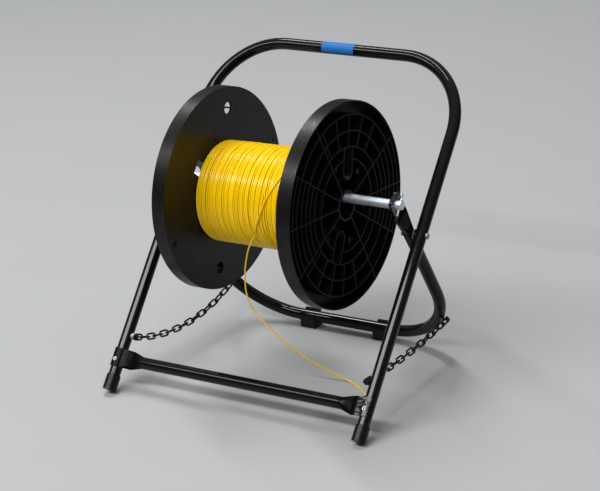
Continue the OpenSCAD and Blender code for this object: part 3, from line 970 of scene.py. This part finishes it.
@dataclass
class LooseEnd:
    """The loose end of the cable, from the drum down to the floor.

    Attributes:
        route: The points that it hangs and lies along, from the drum.
        steps: Points of the curve from one of them to the next.
        roundness: How finely its cross-section is rounded.
    """

    route: tuple[Point, ...] = (
        (0.007, -0.1304, 0.3505), (-0.007, -0.1285, 0.331), (-0.018, -0.126, 0.311),
        (-0.027, -0.124, 0.287), (-0.034, -0.122, 0.263), (-0.038, -0.120, 0.239),
        (-0.040, -0.118, 0.215), (-0.037, -0.115, 0.190), (-0.028, -0.112, 0.167),
        (-0.012, -0.109, 0.147), (0.010, -0.104, 0.123), (0.032, -0.097, 0.099),
        (0.055, -0.086, 0.075), (0.079, -0.072, 0.052), (0.101, -0.057, 0.032),
        (0.122, -0.043, 0.015), (0.139, -0.036, 0.005), (0.156, -0.040, 0.0017),
        (0.176, -0.052, 0.0017), (0.195, -0.067, 0.0017), (0.210, -0.078, 0.0017),
        (0.224, -0.087, 0.0017),
    )
    steps: int = 6
    roundness: int = 3

    def build(self) -> None:
        """Hangs the loose end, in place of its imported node."""
        line = spline_points(self.route, self.steps)
        data = bpy.data.curves.new("loose_cable", "CURVE")
        data.dimensions = "3D"
        spline = data.splines.new("POLY")
        spline.points.add(len(line) - 1)
        for point, place in zip(spline.points, line):
            point.co = (*place, 1.0)
        data.bevel_depth = CABLE_D / 2
        data.bevel_resolution = self.roundness
        data.use_fill_caps = True
        data.materials.append(painted(Look.CABLE.value))
        made = bpy.data.objects.new("loose_cable", data)
        bpy.context.scene.collection.objects.link(made)
        length = sum((b - a).length for a, b in zip(line, line[1:]))
        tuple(self.route[0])
        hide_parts("cable_tail")
        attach(made, "rear_frame")
        LOG.info("LooseEnd: %s, %.3f m", made.name, length)


@dataclass(frozen=True)
class Ring:
    """One ring of a strand that is wound on the drum.

    Attributes:
        x: Its middle's place across the drum.
        r: Its middle's distance from the drum's axis.
        angle: Its place round the drum.
    """

    x: float
    r: float
    angle: float


class WoundStrands:
    """Strands of cable round the drum, gathered in one mesh."""

    def __init__(self, axis: Vector, radius: float) -> None:
        """Starts with no strand.

        Args:
            axis: A point on the drum's axis.
            radius: The cable's radius.
        """
        self.axis = axis
        self.radius = radius
        self.points: list[Vector] = []
        self.faces: list[tuple[int, ...]] = []

    def add(self, rings: Iterable[Ring], sides: int) -> None:
        """Adds one strand with closed ends.

        Args:
            rings: Its rings, in order.
            sides: Points in a ring.
        """
        start = len(self.points)
        for ring in rings:
            out = Vector((0.0, math.cos(ring.angle), math.sin(ring.angle)))
            middle = Vector((ring.x, self.axis.y, self.axis.z)) + ring.r * out
            for j in range(sides):
                a = 2 * math.pi * j / sides
                side = math.cos(a) * out + math.sin(a) * Vector((1, 0, 0))
                self.points.append(middle + self.radius * side)
        last = len(self.points) - sides
        for a in range(start, last, sides):
            b = a + sides
            for j in range(sides):
                k = (j + 1) % sides
                self.faces.append((a + j, b + j, b + k, a + k))
        self.faces.append(tuple(start + j for j in range(sides)))
        self.faces.append(tuple(last + j for j in reversed(range(sides))))


@dataclass(frozen=True)
class Wobble:
    """How a turn strays from its place, smoothly round the drum and from turn to turn.

    Attributes:
        size: How far it strays at most.
        round_drum: How often it changes within a turn.
        per_turn: How much it changes from one turn to the next.
        start: Where in the noise it starts.
    """

    size: float
    round_drum: float
    per_turn: float
    start: tuple[float, float] = (0.0, 0.0)

    def at(self, t: float) -> float:
        """Gives the stray at a turn.

        Args:
            t: The turn, counted from the left.

        Returns:
            The stray, which is below 0 for left or inward.
        """
        angle = 2 * math.pi * t
        out = Vector((math.cos(angle), math.sin(angle), 0.0))
        return self.size * noise.noise(out * self.round_drum + Vector((*self.start, t * self.per_turn)))


@dataclass
class Winding:
    """The cable's two outer layers of turns on the drum, and the strand that crosses them.

    Attributes:
        samples: Rings in each turn of the top layer, and sides the points in a ring.
        under_samples: Rings in each turn of the layer below, and under_sides the points in a ring.
        inset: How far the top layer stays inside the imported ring.
        nesting: The layers' distance, as a share of the cable's diameter.
        turns: Turns in each layer.
        bundles: Bundles that the top layer falls into, with a gap before each.
        wide_gap: Every second gap, and slim_gap the others.
        step_from: The share of a bundle after which the turn steps over the next gap.
        drift: How whole bundles stray sideways, and stray how single turns do.
        steady_turns: Turns at each end over which the stray fades out.
        lift: How single turns lie higher or lower.
        sag_left: The slack at the drum's left end, and sag_right at its right end.
        sag_below: How far under the axle's height the slack reaches, as a share of the radius.
        gap_x: Where the turns part under the crossing strand, from the drum's middle.
        gap_width: How far they part, and gap_reach how far to the left that is felt.
        gap_angle: Where round the drum they part, in degrees, and gap_spread over how many degrees.
        strand_angles: The crossing strand's places round the drum, in degrees.
        strand_x: Its places across the drum, and strand_steps the rings from one to the next.
        centre: The drum's middle, outer_r the winding's radius, and left and right its ends along X.
        top_r: The top layer's radius where it has no slack.
    """

    samples: int = 96
    sides: int = 8
    under_samples: int = 64
    under_sides: int = 6
    inset: float = 0.3 * MM
    nesting: float = 0.86
    turns: int = 73
    bundles: int = 20
    wide_gap: float = 2.1 * MM
    slim_gap: float = 1.1 * MM
    step_from: float = 0.92
    drift: Wobble = Wobble(2.6 * MM, 0.8, 0.25)
    stray: Wobble = Wobble(0.9 * MM, 1.1, 1.7, (7.0, 0.0))
    steady_turns: int = 5
    lift: Wobble = Wobble(0.9 * MM, 0.9, 1.9, (0.0, 5.0))
    sag_left: float = 8.0 * MM
    sag_right: float = 3.6 * MM
    sag_below: float = 0.42
    gap_x: float = 35.0 * MM
    gap_width: float = 5.0 * MM
    gap_reach: float = 30.0 * MM
    gap_angle: float = 196.0
    gap_spread: float = 34.0
    strand_angles: tuple[float, ...] = (100.0, 127.0, 144.0, 163.0, 178.0, 193.4, 204.7)
    strand_x: tuple[float, ...] = (0.080, 0.070, 0.0586, 0.0417, 0.030, 0.0152, 0.007)
    strand_steps: int = 8
    centre: Vector = field(init=False)
    outer_r: float = field(init=False)
    left: float = field(init=False)
    right: float = field(init=False)
    top_r: float = field(init=False)

    def __post_init__(self) -> None:
        """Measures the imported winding."""
        low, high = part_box("cable_winding")
        self.centre = (low + high) / 2
        self.outer_r = (high.z - low.z) / 2
        self.left, self.right = low.x, high.x
        self.top_r = self.outer_r - CABLE_D / 2 - self.inset

    def slant(self, x: float, angle: float) -> float:
        """Gives how far the turns lean left of the gap where the strand crosses them.

        Args:
            x: A turn's place across the drum, from its middle.
            angle: The place round the drum.

        Returns:
            The shift along X.
        """
        away = (math.degrees(angle) % 360.0 - self.gap_angle) / self.gap_spread
        beside = max(0.0, self.gap_x - x) / self.gap_reach
        return -self.gap_width * math.exp(-away * away - beside * beside) if x < self.gap_x else 0.0

    def gaps_before(self, bundle: float) -> float:
        """Gives the gaps before a bundle of turns, of which every second one is wide.

        Args:
            bundle: The bundle, counted from the left.

        Returns:
            Their sum.
        """
        wide = bundle // 2
        return self.wide_gap * wide + self.slim_gap * (bundle - wide)

    def loose_span(self) -> float:
        """Gives the width of the top layer before it is squeezed between the flanges."""
        return self.turns * CABLE_D + self.gaps_before(self.bundles)

    def turn_place(self, t: float) -> float:
        """Gives a turn's place: in its bundle, with its stray and the slant.

        Args:
            t: The turn, counted from the left.

        Returns:
            Its x from the drum's middle.
        """
        bundle, within = divmod(t * self.bundles / self.turns, 1.0)
        step = max(0.0, min(1.0, (within - self.step_from) / (1.0 - self.step_from)))
        gaps = (1 - step) * self.gaps_before(bundle) + step * self.gaps_before(bundle + 1)
        x = CABLE_D * t + gaps - self.loose_span() / 2
        fade = min(1.0, t / self.steady_turns, (self.turns - t) / self.steady_turns)
        shift = self.drift.at(t) + self.stray.at(t) + self.slant(x, 2 * math.pi * t)
        return x + shift * fade

    def sag(self, share: float, angle: float) -> float:
        """Gives how far the slack turns lie under the full radius, most at the top of the left end.

        Args:
            share: The place across the drum, from 0 at the left to 1 at the right.
            angle: The place round the drum.

        Returns:
            The loss of radius.
        """
        raised = max(0.0, (math.sin(angle) + self.sag_below) / (1.0 + self.sag_below))
        return raised * (self.sag_left + (self.sag_right - self.sag_left) * share)

    def places(self, samples: int) -> Iterable[tuple[float, float]]:
        """Gives the turn and the angle at each ring of a layer.

        Args:
            samples: Rings in a turn.

        Returns:
            Turn and angle, ring by ring.
        """
        return ((i / samples, 2 * math.pi * i / samples) for i in range(self.turns * samples + 1))

    def top_layer(self) -> Iterable[Ring]:
        """Gives the rings of the top layer, which is wound from the left."""
        squeeze = (self.right - self.left - CABLE_D) / self.loose_span()
        for t, angle in self.places(self.samples):
            x = self.centre.x + squeeze * self.turn_place(t)
            yield Ring(x, self.top_r - self.sag(t / self.turns, angle) + self.lift.at(t), angle)

    def under_layer(self) -> Iterable[Ring]:
        """Gives the rings of the layer below, which is wound from the right."""
        under_r = self.top_r - CABLE_D * self.nesting
        start = self.right - CABLE_D / 2
        span = self.right - self.left - CABLE_D
        for t, angle in self.places(self.under_samples):
            share = t / self.turns
            yield Ring(start - span * share, under_r - self.sag(1.0 - share, angle), angle)

    def strand(self) -> Iterable[Ring]:
        """Gives the crossing strand, from under the right flange to where it hangs free."""
        r = self.outer_r + CABLE_D / 2
        marks = [(x, r, math.radians(a)) for x, a in zip(self.strand_x, self.strand_angles)]
        for x, full_r, angle in spline_points(marks, self.strand_steps):
            share = (x - self.left) / (self.right - self.left)
            yield Ring(x, full_r - self.sag(share, angle), angle)

    def build(self) -> None:
        """Winds the turns and the crossing strand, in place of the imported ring."""
        strands = WoundStrands(self.centre, CABLE_D / 2)
        strands.add(self.top_layer(), self.sides)
        strands.add(self.under_layer(), self.under_sides)
        strands.add(self.strand(), self.sides)
        made = mesh_object("cable_turns", strands.points, strands.faces, smooth=True)
        made.data.materials.append(painted(Look.CABLE.value))
        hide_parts("cable_winding")
        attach(made, "reel")
        LOG.info("Winding: %s, %d turns in each layer", made.name, self.turns)


@dataclass
class SubAssembly:
    """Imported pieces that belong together.

    Attributes:
        looks: The finish that each of its nodes wears.
    """

    looks: dict[str, Look]

    def build(self) -> None:
        """Dresses the pieces."""
        for node, look in self.looks.items():
            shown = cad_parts[node]
            if not shown.material_slots:
                shown.data.materials.append(painted(look.value))
            for place in shown.material_slots:
                place.material = painted(look.value)
            LOG.info("%s: %s wears %s", type(self).__name__, node, look.name.lower())


@dataclass
class MainFrame(SubAssembly):
    """The handle frame with its crossbar, boots, label and bolts."""

    looks: dict[str, Look] = field(default_factory=lambda: {
        "handle_frame": Look.FRAME,
        "front_crossbar": Look.CROSSBAR,
        "crossbar_rivets": Look.RIVETS,
        "left_boot": Look.BOOTS,
        "right_boot": Look.BOOTS,
        "handle_label": Look.LABEL,
        "pivot_bolts": Look.PIVOTS,
        "pivot_washers": Look.BOLTS,
        "pivot_nuts": Look.PIVOTS,
        "front_chain_bolts": Look.CHAIN,
        "front_chain_nuts": Look.CHAIN_NUTS,
    })


@dataclass
class RearFrame(SubAssembly):
    """The folding rear frame with its saddle feet and chain bolts."""

    looks: dict[str, Look] = field(default_factory=lambda: {
        "rear_frame_tube": Look.ARMS,
        "left_foot": Look.FEET,
        "right_foot": Look.FEET,
        "rear_chain_bolts": Look.CHAIN,
    })


@dataclass
class Chains(SubAssembly):
    """The two halves of each limit chain."""

    looks: dict[str, Look] = field(default_factory=lambda: {
        f"{side}_chain_{half}": Look.CHAIN for side in ("left", "right") for half in ("front", "rear")
    })


@dataclass
class Axle(SubAssembly):
    """The axle and its split pins."""

    looks: dict[str, Look] = field(default_factory=lambda: {
        "axle_rod": Look.AXLE,
        "left_axle_pin": Look.AXLE,
        "right_axle_pin": Look.AXLE,
    })


@dataclass
class Reel(SubAssembly):
    """The reel's flanges, barrel and tie bolts, with the cable wound on it.

    Attributes:
        winding: The turns of cable.
    """

    looks: dict[str, Look] = field(default_factory=lambda: {
        "left_flange": Look.REEL,
        "right_flange": Look.REEL,
        "drum_barrel": Look.REEL,
        "tie_bolts": Look.TIES,
        "tie_nuts": Look.TIES,
    })
    winding: Winding = field(default_factory=Winding)

    def build(self) -> None:
        """Winds the cable and dresses the reel."""
        self.winding.build()
        super().build()


def main() -> None:
    """Builds the studio, then the loose end of the cable, then the sub-assemblies."""
    logging.basicConfig(level=logging.INFO, format="%(message)s")
    for part in (Studio(), LooseEnd(), Reel(), MainFrame(), RearFrame(), Chains(), Axle()):
        part.build()


if __name__ == "__main__":
    main()
